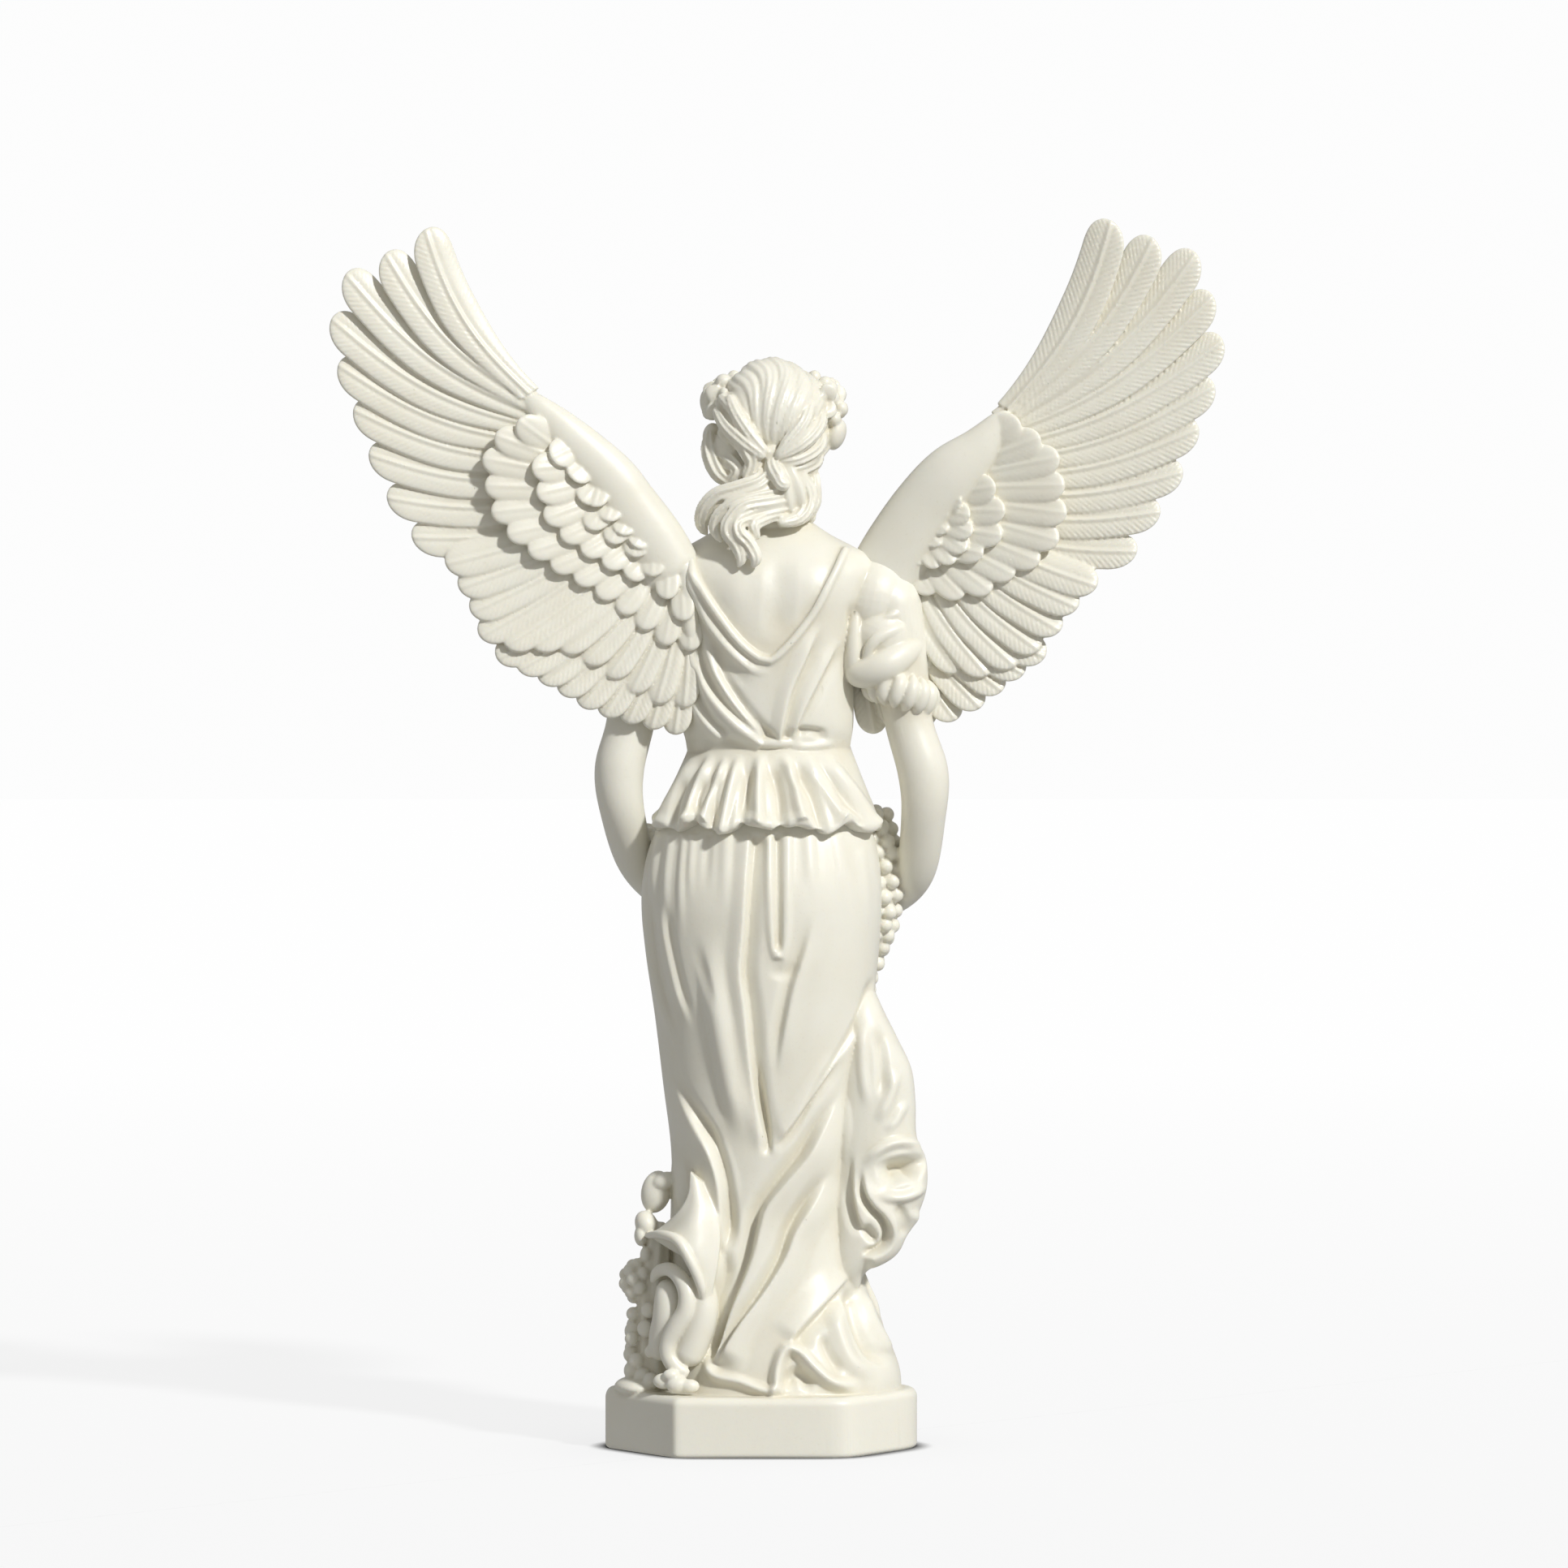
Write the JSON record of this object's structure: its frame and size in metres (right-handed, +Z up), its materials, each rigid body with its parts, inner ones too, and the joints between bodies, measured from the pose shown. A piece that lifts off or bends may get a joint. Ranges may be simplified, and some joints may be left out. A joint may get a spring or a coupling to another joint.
{
  "type": "angel statue",
  "caption": "Standing winged figure in a long draped dress, cast in one with a low clipped-corner plinth; both hands hold a garland before the hips.",
  "frame": {"origin": "centre of the plinth's underside", "axes": "+Z up, the figure faces -Y, its left hand and left wing are on the +X side"},
  "size_m": [0.3309, 0.0946, 0.4556],
  "materials": {
    "ivory_casting": "ivory cast marble and resin, satin, warm in the crevices"
  },
  "bodies": {
    "root": {"angel_statue": "ivory_casting"}
  },
  "joints": []
}
